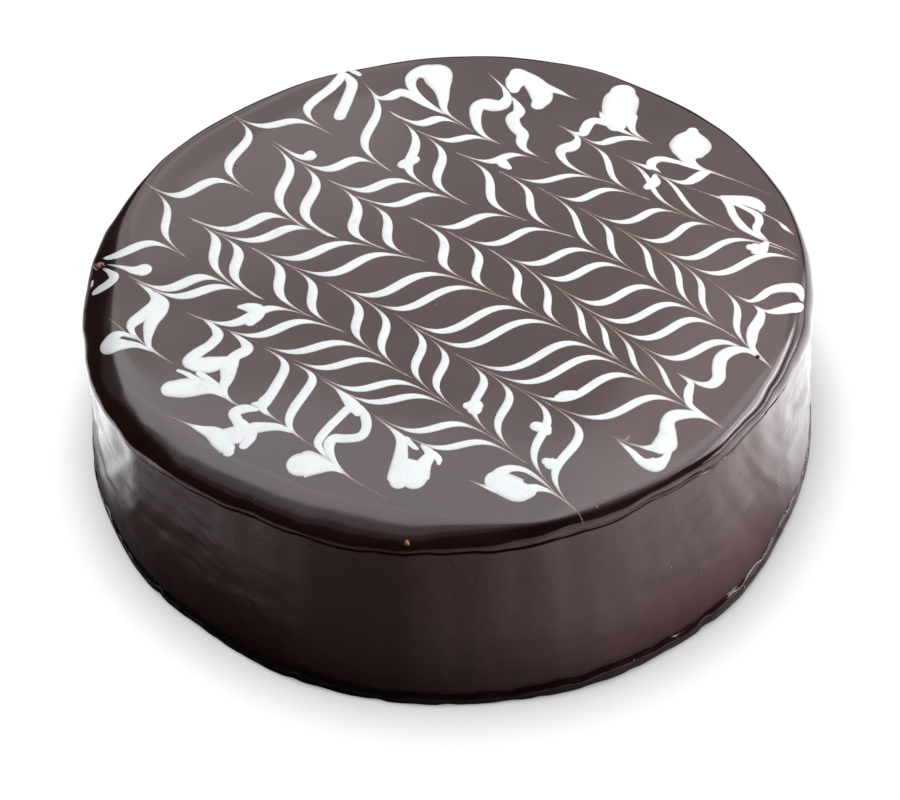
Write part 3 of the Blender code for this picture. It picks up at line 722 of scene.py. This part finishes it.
def coat_rings(angle, settings):
    """Rings of the coat from the middle of the top, over the lip and down to the middle of the underside.
    Each is a radius, a height and how thin the glaze is there, at every angle."""
    lip, foot, drop = lip_radius(angle), foot_radius(angle), roll_drop(angle)
    width, top = roll_width(angle), settings.top_height
    bulge, edge = waves(LIP_BULGE_WAVES, angle), waves(LIP_EDGE_WAVES, angle)
    bulge = bulge + BULGE_PER_SAG * (drop - ROLL_DROP)
    even = np.ones_like(angle)
    rings = []
    for ring in range(1, TOP_RINGS + 1):
        radius = (lip - width) * ring / TOP_RINGS
        rings.append((radius, top + swell(radius * np.cos(angle), radius * np.sin(angle)), 0 * even))
    for ring in range(1, ROLL_RINGS + 1):
        turn = math.pi / 2 * ring / ROLL_RINGS
        inset = width * (1 - math.sin(turn))
        radius = lip - inset
        fading = swell(radius * np.cos(angle), radius * np.sin(angle)) * (1 - math.sin(turn))
        height = top - roll_fall(angle, math.sin(turn)) + fading + edge * (1 - math.cos(turn)) ** 2
        radius = radius + bulge * (1 - math.cos(turn))
        rings.append((radius, height, LIP_THINNESS * (ring / ROLL_RINGS) ** 4 * even))
    lip, lip_height = lip + bulge, top - drop + edge
    for ring in range(1, CREASE_RINGS + 1):
        turn = math.pi / 2 * ring / CREASE_RINGS
        radius = lip - CREASE_DEPTH * (1 - math.cos(turn))
        thin = LIP_THINNESS + (1 - LIP_THINNESS) * math.sin(turn)
        rings.append((radius, lip_height - CREASE_DROP * math.sin(turn), thin * even))
    crease_radius, crease_height = lip - CREASE_DEPTH, lip_height - CREASE_DROP
    shelf = SHELF_DEPTH * eased(1 - apart(angle, SHELF_AT) / SHELF_REACH)
    for out, down in SHELF_RINGS:
        rings.append((crease_radius + shelf * out, crease_height - SHELF_DEPTH * down, (1 - out) * even))
    hem_height = HEM_HEIGHT + waves(HEM_WAVES, angle) + waves(FINE_HEM_WAVES, angle)
    hem_height = hem_height + HIGH_HEM * eased(1 - apart(angle, HIGH_HEM_AT) / HIGH_HEM_REACH)
    hem_radius = foot - HEM_INSET
    for ring in range(1, WALL_RINGS + 1):
        step = (ring / WALL_RINGS) ** WALL_RING_SPACING
        height = crease_height + (hem_height - crease_height) * step
        radius = crease_radius + (hem_radius - crease_radius) * step ** WALL_FLARE
        radius = radius + ripple(angle, height, settings.ripple) * math.sin(math.pi * step)
        radius = radius + shelf * math.exp(-step / SHELF_FADE)
        rings.append((radius, height, max(WALL_THINNESS, 1 - step / CREASE_THIN_SHARE) * even))
    tuck_radius, tuck_height = foot - HEM_TUCK, hem_height - HEM_LIP
    under_radius = (hem_radius + tuck_radius) / 2 + HEM_ROUNDING
    under_height = hem_height * (1 - HEM_ROUND_DROP) + tuck_height * HEM_ROUND_DROP
    rings.append((under_radius, under_height, HEM_THINNESS * even))
    rings.append((tuck_radius, tuck_height, TUCK_THINNESS * even))
    bumps = waves(FOOT_BUMP_WAVES, angle)
    for ring in range(1, FOOT_RINGS + 1):
        turn = math.pi * ring / FOOT_RINGS
        share = ring / FOOT_RINGS
        height = tuck_height * (1 - share)
        bulge = HEM_TUCK * math.sin(turn) ** FOOT_FULLNESS if share < 1 else 0
        radius = tuck_radius * (1 - share) + (foot - FOOT_INSET) * share + bulge
        radius = np.minimum(radius + bumps * math.sin(turn), foot + MOST_PAST_FOOT)
        rings.append((radius, height, FOOT_THINNESS * even))
    for ring in range(1, BASE_RINGS + 1):
        rings.append(((foot - FOOT_INSET) * (1 - ring / (BASE_RINGS + 1)), 0 * even, 0 * even))
    return rings


def mesh_object(name, points, faces, values):
    """A smooth shaded mesh object from points and faces, with a float value named amount at each point."""
    data = bpy.data.meshes.new(name)
    data.from_pydata(points, [], faces)
    layer = data.attributes.new("amount", "FLOAT", "POINT")
    layer.data.foreach_set("value", np.asarray(values, np.float32))
    data.shade_smooth()
    made = bpy.data.objects.new(name, data)
    bpy.context.scene.collection.objects.link(made)
    return made


def coat_mesh(settings):
    """Points, faces and thinness of the closed glaze coat."""
    angle = np.linspace(0, 2 * math.pi, COAT_COLUMNS, endpoint=False)
    rings = coat_rings(angle, settings)
    points = [(0.0, 0.0, settings.top_height + float(swell(0.0, 0.0)))]
    thinness = [0.0]
    for radius, height, thin in rings:
        x, y = radius * np.cos(angle), radius * np.sin(angle)
        points.extend(zip(x.tolist(), y.tolist(), height.tolist()))
        thinness.extend(thin.tolist())
    points.append((0.0, 0.0, 0.0))
    thinness.append(0.0)
    faces = []
    for column in range(COAT_COLUMNS):
        following = (column + 1) % COAT_COLUMNS
        faces.append((0, 1 + column, 1 + following))
        for ring in range(len(rings) - 1):
            above, below = 1 + ring * COAT_COLUMNS, 1 + (ring + 1) * COAT_COLUMNS
            faces.append((above + column, below + column, below + following, above + following))
        last = 1 + (len(rings) - 1) * COAT_COLUMNS
        faces.append((last + column, len(points) - 1, last + following))
    return points, faces, thinness


def on_cake(u, v):
    """Points of the piping's plan frame, in metres on the cake."""
    across, along = math.cos(PIPING_ANGLE), math.sin(PIPING_ANGLE)
    x = (u * across - v * along) * PIPING_UNIT
    y = (u * along + v * across) * PIPING_UNIT + PIPING_CENTRE_Y
    return x, y


def inside_rim(x, y):
    """The points, with those past the rim brought back onto the roll."""
    angle, radius = np.arctan2(y, x), np.hypot(x, y)
    kept = np.minimum(radius, lip_radius(angle) - RIM_MARGIN * roll_width(angle))
    return kept * np.cos(angle), kept * np.sin(angle)


def smooth_curve(knots, values, at):
    """Value of a smooth curve through the knots, a cubic between each two, straight beyond the ends."""
    knots, values = np.asarray(knots, float), np.asarray(values, float)
    slopes = np.gradient(values, knots)
    at = np.asarray(at, float)
    index = np.clip(np.searchsorted(knots, at) - 1, 0, len(knots) - 2)
    gap = knots[index + 1] - knots[index]
    share = (at - knots[index]) / gap
    inside = np.clip(share, 0, 1)
    low, high = values[index], values[index + 1]
    low_slope, high_slope = slopes[index] * gap, slopes[index + 1] * gap
    curve = (
        low * (2 * inside ** 3 - 3 * inside ** 2 + 1)
        + low_slope * (inside ** 3 - 2 * inside ** 2 + inside)
        + high * (3 * inside ** 2 - 2 * inside ** 3)
        + high_slope * (inside ** 3 - inside ** 2)
    )
    return curve + (share - inside) * np.where(share < 0, low_slope, high_slope)


def row_height(row, u):
    """Where a pull row crosses u."""
    points = PULL_ROWS[row][1]
    return smooth_curve([p[0] for p in points], [p[1] for p in points], u)


def between_rows(u, place):
    """The v of points at a place between rows: a whole number is on a row."""
    upper = int(min(max(math.floor(place), 0), len(PULL_ROWS) - 2))
    share = place - upper
    return row_height(upper, u) * (1 - share) + row_height(upper + 1, u) * share


def dragged(u, v, reach):
    """Points of a line after all the pulls: each row drags what is near it along its own direction."""
    moved_u, moved_v = u.copy(), v.copy()
    for row, (direction, _) in enumerate(PULL_ROWS):
        offset = np.abs(v - row_height(row, u))
        pull = direction * (reach * np.exp(-offset / PULL_FADE) + TAIL_REACH * np.exp(-offset / TAIL_FADE))
        slope = (row_height(row, u + SLOPE_STEP) - row_height(row, u - SLOPE_STEP)) / (2 * SLOPE_STEP)
        moved_u = moved_u + pull
        moved_v = moved_v + pull * slope
    return moved_u, moved_v


def line_places(line):
    """Places between rows at which a line has sections, close together at the rows."""
    first, _, strips = PIPED_LINES[line]
    places = []
    for strip in range(first, first + len(strips)):
        places.extend(strip + share for share in STRIP_SHARES)
        places.extend(strip + 1 - share for share in reversed(STRIP_SHARES[1:-1]))
    places.append(first + len(strips))
    return places


def line_sections(line, reach):
    """Sections of one piped line, each an array of u and an array of v across it."""
    first, width, strips = PIPED_LINES[line]
    across = np.asarray(ACROSS)
    middles = [first + 0.5 + strip for strip in range(len(strips))]
    sections = []
    for place in line_places(line):
        u = float(smooth_curve(middles, strips, place)) + across * width / 2
        v = between_rows(u, place)
        sections.append(dragged(u, v, reach))
    return sections


def brush_sections(stroke):
    """Sections of a brush stroke through points, each with a half width, with round ends."""
    knots = np.arange(len(stroke), dtype=float)
    at = np.linspace(0, len(stroke) - 1, (len(stroke) - 1) * STROKE_SECTIONS_PER_POINT + 1)
    u = smooth_curve(knots, [p[0] for p in stroke], at)
    v = smooth_curve(knots, [p[1] for p in stroke], at)
    half = np.maximum(smooth_curve(knots, [p[2] for p in stroke], at), LEAST_HALF_WIDTH)
    du, dv = np.gradient(u), np.gradient(v)
    length = np.hypot(du, dv)
    sections = []
    turns = np.linspace(0, math.pi / 2, END_SECTIONS + 1)[:-1]
    caps = [(-math.cos(turn), math.sin(turn)) for turn in turns]
    steps = [(0, along, size) for along, size in caps]
    steps += [(index, 0, 1) for index in range(len(at))]
    steps += [(len(at) - 1, -along, size) for along, size in reversed(caps)]
    for index, along, size in steps:
        direction = np.array((du[index], dv[index])) / length[index]
        start = np.array((u[index], v[index])) + direction * along * half[index]
        spread = np.asarray(ACROSS) * half[index] * max(size, LEAST_END)
        sections.append((start[0] - direction[1] * spread, start[1] + direction[0] * spread))
    return sections


def icing_strip(sections, top_height, points, faces, cover):
    """Adds a low crowned strip through the sections. Cover is 1 where thick, 0 where drawn out."""
    start = len(points)
    across = np.asarray(ACROSS)
    middle = len(ACROSS) // 2
    centres = np.array([[u[middle], v[middle]] for u, v in sections])
    run = np.gradient(centres, axis=0)
    run_length = np.maximum(np.hypot(run[:, 0], run[:, 1]), 1e-9)
    for index, (u, v) in enumerate(sections):
        span = np.array((u[-1] - u[0], v[-1] - v[0]))
        width = abs(span[0] * run[index, 1] - span[1] * run[index, 0]) / run_length[index] * PIPING_UNIT
        crown = min(width * CROWN_PER_WIDTH, MOST_CROWN)
        x, y = inside_rim(*on_cake(u, v))
        height = top_surface(x, y, top_height) - EDGE_DEPTH
        height = height + (crown + EDGE_DEPTH) * np.sqrt(1 - across ** 2)
        thick = min(max((width - BARE_WIDTH) / ADDED_WIDTH, 0), 1)
        shown = thick * np.clip((1 - np.abs(across)) / EDGE_SHARE, 0, 1)
        points.extend(zip(x.tolist(), y.tolist(), height.tolist()))
        cover.extend(shown.tolist())
    for index in range(len(sections) - 1):
        for place in range(len(ACROSS) - 1):
            a = start + index * len(ACROSS) + place
            b = a + len(ACROSS)
            faces.append((a, a + 1, b + 1, b))


def icing_mesh(settings, top_height):
    """Points, faces and cover of all the icing."""
    points, faces, cover = [], [], []
    for line in range(len(PIPED_LINES)):
        icing_strip(line_sections(line, settings.pull_reach), top_height, points, faces, cover)
    for stroke in BACK_STROKES + RIGHT_STROKES + FRONT_STROKES + LINE_DROPS:
        icing_strip(brush_sections(stroke), top_height, points, faces, cover)
    return points, faces, cover


def face_up(made):
    """Turns every face of a flat lying piece upward."""
    data = made.data
    flip = [face.index for face in data.polygons if face.normal.z < 0]
    mesh = bmesh.new()
    mesh.from_mesh(data)
    mesh.faces.ensure_lookup_table()
    bmesh.ops.reverse_faces(mesh, faces=[mesh.faces[index] for index in flip])
    mesh.to_mesh(data)
    mesh.free()


def grain(centre, radius, turn, kind, points, faces, kinds):
    """Adds a small uneven lump of a kind round a centre."""
    lump = bmesh.new()
    bmesh.ops.create_icosphere(lump, subdivisions=2, radius=1.0)
    start = len(points)
    for corner in lump.verts:
        size = 1
        for axis, height, count, turns in GRAIN_LUMPS:
            size = size + height * math.sin(count * corner.co[axis] + turns * turn)
        points.append(tuple(
            centre[axis] + corner.co[axis] * radius * size * GRAIN_SHAPE[axis] for axis in range(3)
        ))
        kinds.append(kind)
    faces.extend(tuple(start + corner.index for corner in face.verts) for face in lump.faces)
    lump.free()


def speck_places(coat):
    """Scattered places on the coat, found by looking at it from above and from the side."""
    for index in range(TOP_SPECKS):
        radius = LIP_RADIUS * SPECK_RIM_SHARE * math.sqrt((index + 0.5) / TOP_SPECKS)
        angle = 2 * math.pi * GOLDEN * index + math.sin(7.0 * index)
        start = Vector((radius * math.cos(angle), radius * math.sin(angle), 0.2))
        yield coat.ray_cast(start, Vector((0, 0, -1)))[1]
    for index in range(SIDE_SPECKS):
        angle = 2 * math.pi * ((index * GOLDEN) % 1)
        share = 0.5 + 0.5 * math.sin(11.0 * index)
        height = LOWEST_SPECK + (TOP_HEIGHT - ROLL_DROP - SPECK_CLEARANCE) * share
        out = Vector((math.cos(angle), math.sin(angle), 0))
        yield coat.ray_cast(out * 0.3 + Vector((0, 0, height)), -out)[1]


def crumb_mesh(coat, settings, top_height):
    """Points, faces and kinds: 0 for a speck, 1 for a crumb and 2 for the near-black lump of painted hole
    shade beside one.
    """
    points, faces, kinds = [], [], []
    for index, place in enumerate(speck_places(coat)):
        share = (index * GOLDEN * 3) % 1
        radius = SPECK_RADII[0] + (SPECK_RADII[1] - SPECK_RADII[0]) * share ** 3
        grain(place, radius * settings.scale, index, 0, points, faces, kinds)
    for index, (u, v, radius) in enumerate(CRUMBS):
        x, y = inside_rim(*on_cake(u, v))
        reach = radius * PIPING_UNIT * settings.scale
        place = (float(x), float(y), float(top_surface(x, y, top_height)) + reach * CRUMB_LIFT)
        grain(place, reach, index, 1, points, faces, kinds)
    # The near-black lump of painted shade, where the hole beside the largest crumb is
    u, v, radius = CRUMB_HOLE_SHADE
    x, y = inside_rim(*on_cake(u, v))
    reach = radius * PIPING_UNIT * settings.scale
    place = (float(x), float(y), float(top_surface(x, y, top_height)) + reach * HOLE_SHADE_LIFT)
    grain(place, reach, HOLE_SHADE_TURN, 2, points, faces, kinds)
    return points, faces, kinds


def new_material(name):
    """A node material and its Principled shader."""
    made = bpy.data.materials.new(name)
    made.use_nodes = True
    return made, made.node_tree.nodes["Principled BSDF"]


def node(tree, kind, **values):
    """A new node with its sockets or properties set by name."""
    made = tree.nodes.new(kind)
    for key, value in values.items():
        if hasattr(made, key):
            setattr(made, key, value)
        else:
            made.inputs[key.replace("_", " ")].default_value = value
    return made


def noise(tree, scale, detail, roughness=0.5):
    """Noise in the cake's own metres."""
    place = node(tree, "ShaderNodeTexCoord")
    made = node(tree, "ShaderNodeTexNoise", Scale=scale, Detail=detail, Roughness=roughness)
    tree.links.new(place.outputs["Object"], made.inputs["Vector"])
    return made


def mixed(tree, factor, first, second):
    """A colour mixed from two colours or sockets by a factor socket."""
    made = tree.nodes.new("ShaderNodeMix")
    made.data_type = "RGBA"
    tree.links.new(factor, made.inputs["Factor"])
    for socket, value in ((made.inputs["A"], first), (made.inputs["B"], second)):
        target = [s for s in made.inputs if s.name == socket.name and s.type == "RGBA"][0]
        if isinstance(value, bpy.types.NodeSocket):
            tree.links.new(value, target)
        else:
            target.default_value = (*value, 1)
    return [s for s in made.outputs if s.type == "RGBA"][0]


def ranged(tree, value, low, high, new_low, new_high):
    """A socket's range brought to another range."""
    made = node(tree, "ShaderNodeMapRange")
    for name, number in (("From Min", low), ("From Max", high), ("To Min", new_low), ("To Max", new_high)):
        made.inputs[name].default_value = number
    tree.links.new(value, made.inputs["Value"])
    return made.outputs["Result"]


def bumped(tree, shader, height, strength, distance, under=None):
    """A bump from a height socket, over another bump's normal if one is given."""
    made = node(tree, "ShaderNodeBump", Strength=strength, Distance=distance)
    tree.links.new(height, made.inputs["Height"])
    if under is not None:
        tree.links.new(under, made.inputs["Normal"])
    tree.links.new(made.outputs["Normal"], shader.inputs["Normal"])
    return made.outputs["Normal"]


def combined(tree, operation, first, second):
    made = node(tree, "ShaderNodeMath", operation=operation)
    tree.links.new(first, made.inputs[0])
    tree.links.new(second, made.inputs[1])
    return made.outputs["Value"]


def glaze_material(settings):
    """Set chocolate glaze: dark and glossy, redder and more uneven where thin, with faint mottling."""
    made, shader = new_material("chocolate_glaze")
    tree = made.node_tree
    thin = node(tree, "ShaderNodeAttribute", attribute_name="amount")
    mottle = noise(tree, 55, 4)
    darker, lighter = (tuple(share * part for part in settings.colour) for share in GLAZE_MOTTLES)
    thick = mixed(tree, ranged(tree, mottle.outputs["Fac"], *MOTTLE_RANGE, 0, 1), darker, lighter)
    colour = mixed(tree, thin.outputs["Fac"], thick, settings.thin_colour)
    tree.links.new(colour, shader.inputs["Base Color"])
    least, most = (settings.roughness + change for change in GLAZE_MATT_CHANGE)
    matt = ranged(tree, mottle.outputs["Fac"], *MATT_RANGE, least, most)
    tree.links.new(matt, shader.inputs["Roughness"])
    shader.inputs["IOR"].default_value = GLAZE_IOR
    shader.inputs["Specular Tint"].default_value = GLAZE_SHINE
    uneven = combined(tree, "MULTIPLY", noise(tree, 130, 3).outputs["Fac"], thin.outputs["Fac"])
    flow = bumped(tree, shader, uneven, 0.55, 0.0014)
    long_flow = bumped(tree, shader, noise(tree, 60, 2).outputs["Fac"], 0.10, 0.0006, flow)
    bumped(tree, shader, noise(tree, 900, 3).outputs["Fac"], 0.05, 0.0001, long_flow)
    return made


def icing_material(settings):
    """White sugar icing that lets the glaze show through where a pull has drawn it thin."""
    made, shader = new_material("white_icing")
    tree = made.node_tree
    cover = node(tree, "ShaderNodeAttribute", attribute_name="amount")
    cloud = noise(tree, 140, 3)
    soft = tuple(ICING_MOTTLE * part for part in settings.colour)
    white = mixed(tree, ranged(tree, cloud.outputs["Fac"], *MOTTLE_RANGE, 0, 1), soft, settings.colour)
    colour = mixed(tree, cover.outputs["Fac"], settings.thin_colour, white)
    tree.links.new(colour, shader.inputs["Base Color"])
    matt = ranged(tree, cloud.outputs["Fac"], *MATT_RANGE, *ICING_ROUGHNESS)
    tree.links.new(matt, shader.inputs["Roughness"])
    bumped(tree, shader, noise(tree, 700, 2).outputs["Fac"], 0.06, 0.0001)
    return made


def crumb_material(settings):
    """Sponge crumbs, small pale specks and a near-black lump of painted hole shade, told apart by the kind
    stored at the points.
    """
    made, shader = new_material("sponge_crumbs")
    tree = made.node_tree
    kind = node(tree, "ShaderNodeAttribute", attribute_name="amount").outputs["Fac"]
    pores = noise(tree, 2500, 3)
    darker = tuple(SPONGE_PORES * part for part in settings.crumb_colour)
    open_pores = ranged(tree, pores.outputs["Fac"], *MOTTLE_RANGE, 0, 1)
    sponge = mixed(tree, open_pores, darker, settings.crumb_colour)
    crumb = mixed(tree, ranged(tree, kind, 0, 1, 0, 1), settings.speck_colour, sponge)
    # Kind 2 takes the near-black painted shade of the hole
    colour = mixed(tree, ranged(tree, kind, 1, 2, 0, 1), crumb, PAINTED_HOLE_SHADE_COLOUR)
    tree.links.new(colour, shader.inputs["Base Color"])
    shader.inputs["Roughness"].default_value = CRUMB_ROUGHNESS
    bumped(tree, shader, pores.outputs["Fac"], 0.3, 0.0002)
    return made


class TORTE_OT_glaze(bpy.types.Operator):
    """Make the glaze coat of the cake"""

    bl_idname = "torte.add_glaze"
    bl_label = "Glaze coat"

    def execute(self, context):
        settings = context.scene.torte_glaze
        coat = mesh_object("glaze_coat", *coat_mesh(settings))
        coat.data.materials.append(glaze_material(settings))
        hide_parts("sachertorte")
        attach(coat, "root")
        return {"FINISHED"}


class TORTE_OT_icing(bpy.types.Operator):
    """Make the feathered icing on the top"""

    bl_idname = "torte.add_icing"
    bl_label = "Feathered icing"

    def execute(self, context):
        settings = context.scene.torte_icing
        icing = mesh_object("feathered_icing", *icing_mesh(settings, context.scene.torte_glaze.top_height))
        face_up(icing)
        icing.data.materials.append(icing_material(settings))
        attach(icing, "root")
        return {"FINISHED"}


class TORTE_OT_crumbs(bpy.types.Operator):
    """Make the crumbs and specks on the glaze, after the coat"""

    bl_idname = "torte.add_crumbs"
    bl_label = "Crumbs"

    def execute(self, context):
        settings = context.scene.torte_crumbs
        context.view_layer.update()
        coat = bpy.data.objects["glaze_coat"]
        crumbs = mesh_object("crumbs", *crumb_mesh(coat, settings, context.scene.torte_glaze.top_height))
        crumbs.data.materials.append(crumb_material(settings))
        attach(crumbs, "root")
        return {"FINISHED"}


def toward(tree, place, heading):
    """How near points lie to a heading, counted from +X to +Y: 1 along it and -1 away from it."""
    flat = node(tree, "ShaderNodeVectorMath", operation="MULTIPLY")
    flat.inputs[1].default_value = (1, 1, 0)
    tree.links.new(place, flat.inputs[0])
    unit = node(tree, "ShaderNodeVectorMath", operation="NORMALIZE")
    tree.links.new(flat.outputs["Vector"], unit.inputs[0])
    made = node(tree, "ShaderNodeVectorMath", operation="DOT_PRODUCT")
    made.inputs[1].default_value = (math.cos(heading), math.sin(heading), 0)
    tree.links.new(unit.outputs["Vector"], made.inputs[0])
    return made.outputs["Value"]


def painted_floor_glow(tree):
    """Painted glow of the floor that the cake's side mirrors, in lobes to the right and the left, standing
    in for light falling on the floor.
    """
    place = node(tree, "ShaderNodeTexCoord").outputs["Object"]
    length = node(tree, "ShaderNodeVectorMath", operation="LENGTH")
    tree.links.new(place, length.inputs[0])
    total = None
    for heading, low, high, start, full, strength in PAINTED_FLOOR_GLOWS:
        lobe = ranged(tree, toward(tree, place, heading), low, high, 0, strength)
        lobe.node.interpolation_type = "SMOOTHSTEP"
        lobe = combined(tree, "MULTIPLY", lobe, ranged(tree, length.outputs["Value"], start, full, 0, 1))
        total = lobe if total is None else combined(tree, "ADD", total, lobe)
    return total


def floor_material(settings):
    """White floor: grey with a painted glow in lobes as the cake mirrors it, and even white with a soft
    contact shadow as it is seen.
    """
    made, shader = new_material("white_floor")
    tree = made.node_tree
    shader.inputs["Base Color"].default_value = FLOOR_GREY
    shader.inputs["Roughness"].default_value = 0.9
    shader.inputs["Specular IOR Level"].default_value = 0
    # Painted glow in lobes: the camera never sees it, but it shows in the glaze's reflections
    shader.inputs["Emission Color"].default_value = PAINTED_GLOW_COLOUR
    tree.links.new(painted_floor_glow(tree), shader.inputs["Emission Strength"])
    closeness = node(tree, "ShaderNodeAmbientOcclusion", samples=12, Distance=SHADOW_REACH)
    lifted = ranged(tree, closeness.outputs["AO"], *SHADOW_RANGE, SHADOW_DARKEST, settings.floor_white)
    seen = node(tree, "ShaderNodeEmission")
    tree.links.new(lifted, seen.inputs["Strength"])
    ray = node(tree, "ShaderNodeLightPath")
    both = node(tree, "ShaderNodeMixShader")
    tree.links.new(ray.outputs["Is Camera Ray"], both.inputs["Fac"])
    tree.links.new(shader.outputs["BSDF"], both.inputs[1])
    tree.links.new(seen.outputs["Emission"], both.inputs[2])
    tree.links.new(both.outputs["Shader"], tree.nodes["Material Output"].inputs["Surface"])
    return made


def add_floor(settings):
    half = FLOOR_SIZE / 2
    data = bpy.data.meshes.new("floor")
    corners = [(-half, -half, 0), (half, -half, 0), (half, half, 0), (-half, half, 0)]
    data.from_pydata(corners, [], [(0, 1, 2, 3)])
    floor = bpy.data.objects.new("floor", data)
    bpy.context.scene.collection.objects.link(floor)
    floor.location.z = CAKE_LOW.z - FLOOR_GAP
    data.materials.append(floor_material(settings))


def add_world():
    """Very dim round the cake, and white where it is looked at past the floor."""
    world = bpy.data.worlds.new("studio")
    bpy.context.scene.world = world
    world.use_nodes = True
    tree = world.node_tree
    background = tree.nodes["Background"]
    background.inputs["Color"].default_value = (1, 1, 1, 1)
    ray = node(tree, "ShaderNodeLightPath")
    strength = ranged(tree, ray.outputs["Is Camera Ray"], 0, 1, ROOM_DIM, ROOM_SEEN)
    tree.links.new(strength, background.inputs["Strength"])


def softbox(name, heading, elevation, width, height, radiance, colour):
    """A rectangular light aimed at the cake. Its heading is counted from +Y towards +X."""
    data = bpy.data.lights.new(name, "AREA")
    data.shape = "RECTANGLE"
    data.size = width
    data.size_y = height
    data.color = colour
    data.energy = radiance * math.pi * width * height
    light = bpy.data.objects.new(name, data)
    bpy.context.scene.collection.objects.link(light)
    heading, elevation = math.radians(heading), math.radians(elevation)
    away = Vector((
        math.sin(heading) * math.cos(elevation),
        math.cos(heading) * math.cos(elevation),
        math.sin(elevation),
    ))
    light.location = away * LIGHT_DISTANCE
    light.rotation_mode = "QUATERNION"
    light.rotation_quaternion = away.to_track_quat("Z", "Y")
    light.visible_camera = False
    return light


def add_lights(settings):
    """Softboxes one above another from behind to over the cake, some at its sides, and the window lights."""
    for index, (name, heading, elevation, width, height, share, colour) in enumerate(KEY_LIGHTS):
        made = softbox(name, heading, elevation, width, height, settings.key_radiance * share, colour)
        made.visible_diffuse = index < FIRST_GLAZE_LIGHT
    for name, heading, elevation, width, height, share, colour in WINDOW_LIGHTS:
        softbox(name, heading, elevation, width, height, settings.window_radiance * share, colour)


def add_camera():
    position = Vector((0, -math.cos(CAMERA_ELEVATION), math.sin(CAMERA_ELEVATION))) * CAMERA_DISTANCE
    forward = -position.normalized()
    right = Vector((1, 0, 0))
    up = right.cross(forward)
    for axis, angle, turned in (
        (up, CAMERA_YAW, (forward, right)),
        (right, CAMERA_PITCH, (forward, up)),
        (forward, CAMERA_ROLL, (right, up)),
    ):
        turn = Quaternion(axis, angle)
        for vector in turned:
            vector.rotate(turn)
    data = bpy.data.cameras.new("photo_camera")
    data.sensor_fit = "HORIZONTAL"
    data.sensor_width = CAMERA_SENSOR
    data.lens = CAMERA_LENS
    data.clip_start, data.clip_end = 0.01, 100
    camera = bpy.data.objects.new("photo_camera", data)
    bpy.context.scene.collection.objects.link(camera)
    columns = Matrix((right, up, -forward)).transposed()
    camera.matrix_world = Matrix.Translation(position) @ columns.to_4x4()
    bpy.context.scene.camera = camera


class TORTE_OT_stage(bpy.types.Operator):
    """Make the white floor, the lights and the camera"""

    bl_idname = "torte.set_stage"
    bl_label = "Studio"

    def execute(self, context):
        settings = context.scene.torte_stage
        add_floor(settings)
        add_world()
        add_lights(settings)
        add_camera()
        context.scene.view_settings.view_transform = "Standard"
        return {"FINISHED"}


class TORTE_PT_sidebar(bpy.types.Panel):
    """Lists the pieces of the torte"""

    bl_label = "Torte"
    bl_idname = "TORTE_PT_sidebar"
    bl_space_type = "VIEW_3D"
    bl_region_type = "UI"
    bl_category = "Torte"

    def draw(self, context):
        for operator in OPERATORS:
            self.layout.operator(operator.bl_idname)


SETTINGS = (
    ("torte_glaze", TorteGlazeSettings),
    ("torte_icing", TorteIcingSettings),
    ("torte_crumbs", TorteCrumbSettings),
    ("torte_stage", TorteStageSettings),
)
OPERATORS = (TORTE_OT_glaze, TORTE_OT_icing, TORTE_OT_crumbs, TORTE_OT_stage)


def register():
    for name, group in SETTINGS:
        bpy.utils.register_class(group)
        setattr(bpy.types.Scene, name, bpy.props.PointerProperty(type=group))
    for operator in OPERATORS:
        bpy.utils.register_class(operator)
    bpy.utils.register_class(TORTE_PT_sidebar)


def unregister():
    bpy.utils.unregister_class(TORTE_PT_sidebar)
    for operator in reversed(OPERATORS):
        bpy.utils.unregister_class(operator)
    for name, group in reversed(SETTINGS):
        delattr(bpy.types.Scene, name)
        bpy.utils.unregister_class(group)


def main():
    register()
    bpy.ops.torte.add_glaze()
    bpy.ops.torte.add_icing()
    bpy.ops.torte.add_crumbs()
    bpy.ops.torte.set_stage()


if __name__ == "__main__":
    main()
